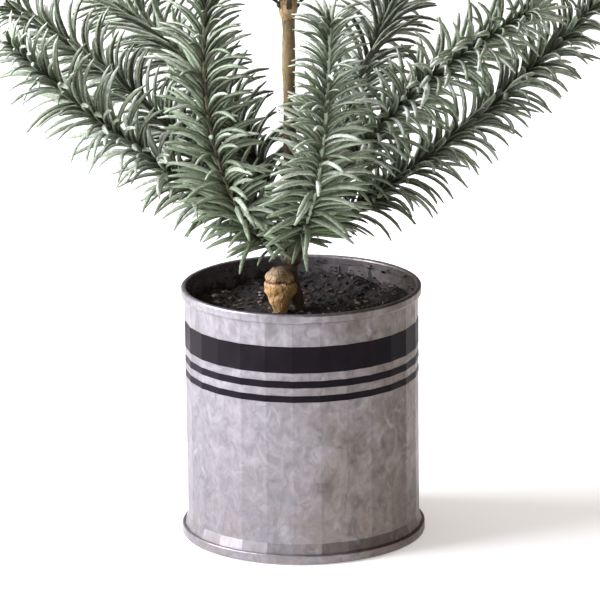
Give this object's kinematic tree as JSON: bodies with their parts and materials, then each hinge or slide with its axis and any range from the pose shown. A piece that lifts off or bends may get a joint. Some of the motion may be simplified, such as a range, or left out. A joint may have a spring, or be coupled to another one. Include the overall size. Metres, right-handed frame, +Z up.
{
  "type": "artificial tabletop tree",
  "caption": "Frosted artificial fir with bendable branches on an upright trunk, set in peat in a flat-sided galvanised tin with black painted stripes.",
  "frame": {"origin": "the middle of the plane that the tin's foot stands on, on the tin's axis", "axes": "+Z up along the trunk, -Y to the front, +X to the right seen from the front"},
  "size_m": [0.312, 0.2321, 0.5954],
  "materials": {
    "galvanised_tin": "mottled satin",
    "black_paint": "satin",
    "plaster": "matte",
    "peat": "matte",
    "steel_wire": "plain",
    "moulded_bark": "matte",
    "wrapped_wire": "matte",
    "frosted_needles": "matte, frosted"
  },
  "bodies": {
    "planter": {"tin_wall": "galvanised_tin", "tin_base": "galvanised_tin", "stripe_wide": "black_paint", "stripe_upper": "black_paint", "stripe_lower": "black_paint", "ballast": "plaster", "soil": "peat", "trunk_core": "steel_wire", "root_butt": "moulded_bark", "bark_1": "moulded_bark", "bark_2": "moulded_bark", "bark_3": "moulded_bark", "bark_4": "moulded_bark", "knob_1": "moulded_bark", "knob_2": "moulded_bark", "knob_3": "moulded_bark", "knob_4": "moulded_bark"},
    "branch_1_1": {"stem_1_1": "wrapped_wire", "needles_1_1": "frosted_needles"},
    "branch_1_2": {"stem_1_2": "wrapped_wire", "needles_1_2": "frosted_needles"},
    "branch_1_3": {"stem_1_3": "wrapped_wire", "needles_1_3": "frosted_needles"},
    "branch_1_4": {"stem_1_4": "wrapped_wire", "needles_1_4": "frosted_needles"},
    "branch_1_5": {"stem_1_5": "wrapped_wire", "needles_1_5": "frosted_needles"},
    "branch_1_6": {"stem_1_6": "wrapped_wire", "needles_1_6": "frosted_needles"},
    "branch_1_7": {"stem_1_7": "wrapped_wire", "needles_1_7": "frosted_needles"},
    "branch_1_8": {"stem_1_8": "wrapped_wire", "needles_1_8": "frosted_needles"},
    "branch_2_1": {"stem_2_1": "wrapped_wire", "needles_2_1": "frosted_needles"},
    "branch_2_2": {"stem_2_2": "wrapped_wire", "needles_2_2": "frosted_needles"},
    "branch_2_3": {"stem_2_3": "wrapped_wire", "needles_2_3": "frosted_needles"},
    "branch_2_4": {"stem_2_4": "wrapped_wire", "needles_2_4": "frosted_needles"},
    "branch_2_5": {"stem_2_5": "wrapped_wire", "needles_2_5": "frosted_needles"},
    "branch_3_1": {"stem_3_1": "wrapped_wire", "needles_3_1": "frosted_needles"},
    "branch_3_2": {"stem_3_2": "wrapped_wire", "needles_3_2": "frosted_needles"},
    "branch_3_3": {"stem_3_3": "wrapped_wire", "needles_3_3": "frosted_needles"},
    "branch_3_4": {"stem_3_4": "wrapped_wire", "needles_3_4": "frosted_needles"},
    "branch_4_1": {"stem_4_1": "wrapped_wire", "needles_4_1": "frosted_needles"},
    "branch_4_2": {"stem_4_2": "wrapped_wire", "needles_4_2": "frosted_needles"},
    "branch_4_3": {"stem_4_3": "wrapped_wire", "needles_4_3": "frosted_needles"},
    "leader": {"leader_stem": "wrapped_wire", "leader_needles": "frosted_needles"}
  },
  "joints": [
    {"name": "bend_1_1", "type": "hinge", "parent": "planter", "child": "branch_1_1", "pos_m": [0.00019, -0.00036, 0.1535], "axis": [-0.0698, -0.9976, 0], "range_deg": [-12, 10]},
    {"name": "bend_1_2", "type": "hinge", "parent": "planter", "child": "branch_1_2", "pos_m": [-0.00064, -0.00283, 0.1485], "axis": [-0.5446, -0.8387, 0], "range_deg": [-12, 10]},
    {"name": "bend_1_3", "type": "hinge", "parent": "planter", "child": "branch_1_3", "pos_m": [-0.00401, -0.0051, 0.1535], "axis": [-0.9816, -0.1908, 0], "range_deg": [-12, 10]},
    {"name": "bend_1_4", "type": "hinge", "parent": "planter", "child": "branch_1_4", "pos_m": [-0.0076, -0.0045, 0.1485], "axis": [-0.866, 0.5, 0], "range_deg": [-12, 10]},
    {"name": "bend_1_5", "type": "hinge", "parent": "planter", "child": "branch_1_5", "pos_m": [-0.00989, -0.00178, 0.1535], "axis": [-0.342, 0.9397, 0], "range_deg": [-12, 10]},
    {"name": "bend_1_6", "type": "hinge", "parent": "planter", "child": "branch_1_6", "pos_m": [-0.01002, 0.00135, 0.1485], "axis": [0.2588, 0.9659, 0], "range_deg": [-12, 10]},
    {"name": "bend_1_7", "type": "hinge", "parent": "planter", "child": "branch_1_7", "pos_m": [-0.00861, 0.00374, 0.1535], "axis": [0.7193, 0.6947, 0], "range_deg": [-12, 10]},
    {"name": "bend_1_8", "type": "hinge", "parent": "planter", "child": "branch_1_8", "pos_m": [-0.0024, 0.0045, 0.1485], "axis": [0.866, -0.5, 0], "range_deg": [-12, 10]},
    {"name": "bend_2_1", "type": "hinge", "parent": "planter", "child": "branch_2_1", "pos_m": [-0.00265, 0.00348, 0.277], "axis": [0.829, -0.5592, 0], "range_deg": [-12, 10]},
    {"name": "bend_2_2", "type": "hinge", "parent": "planter", "child": "branch_2_2", "pos_m": [-0.00759, 0.00331, 0.277], "axis": [0.788, 0.6157, 0], "range_deg": [-12, 10]},
    {"name": "bend_2_3", "type": "hinge", "parent": "planter", "child": "branch_2_3", "pos_m": [-0.00895, -0.00144, 0.277], "axis": [-0.342, 0.9397, 0], "range_deg": [-12, 10]},
    {"name": "bend_2_4", "type": "hinge", "parent": "planter", "child": "branch_2_4", "pos_m": [-0.00456, -0.00418, 0.277], "axis": [-0.9945, -0.1045, 0], "range_deg": [-12, 10]},
    {"name": "bend_2_5", "type": "hinge", "parent": "planter", "child": "branch_2_5", "pos_m": [-0.00101, -0.0013, 0.277], "axis": [-0.309, -0.9511, 0], "range_deg": [-12, 10]},
    {"name": "bend_3_1", "type": "hinge", "parent": "planter", "child": "branch_3_1", "pos_m": [-0.00277, 0.00356, 0.384], "axis": [0.848, -0.5299, 0], "range_deg": [-12, 10]},
    {"name": "bend_3_2", "type": "hinge", "parent": "planter", "child": "branch_3_2", "pos_m": [-0.00864, 0.0021, 0.384], "axis": [0.5, 0.866, 0], "range_deg": [-12, 10]},
    {"name": "bend_3_3", "type": "hinge", "parent": "planter", "child": "branch_3_3", "pos_m": [-0.0071, -0.00364, 0.384], "axis": [-0.866, 0.5, 0], "range_deg": [-12, 10]},
    {"name": "bend_3_4", "type": "hinge", "parent": "planter", "child": "branch_3_4", "pos_m": [-0.00129, -0.00197, 0.384], "axis": [-0.4695, -0.8829, 0], "range_deg": [-12, 10]},
    {"name": "bend_4_1", "type": "hinge", "parent": "planter", "child": "branch_4_1", "pos_m": [-0.00094, 0.00109, 0.472], "axis": [0.2588, -0.9659, 0], "range_deg": [-12, 10]},
    {"name": "bend_4_2", "type": "hinge", "parent": "planter", "child": "branch_4_2", "pos_m": [-0.00797, 0.00297, 0.472], "axis": [0.7071, 0.7071, 0], "range_deg": [-12, 10]},
    {"name": "bend_4_3", "type": "hinge", "parent": "planter", "child": "branch_4_3", "pos_m": [-0.00609, -0.00406, 0.472], "axis": [-0.9659, 0.2588, 0], "range_deg": [-12, 10]},
    {"name": "bend_leader", "type": "hinge", "parent": "planter", "child": "leader", "pos_m": [-0.005, 0, 0.4774], "axis": [-0.7071, -0.7071, 0], "range_deg": [-10, 10]}
  ]
}
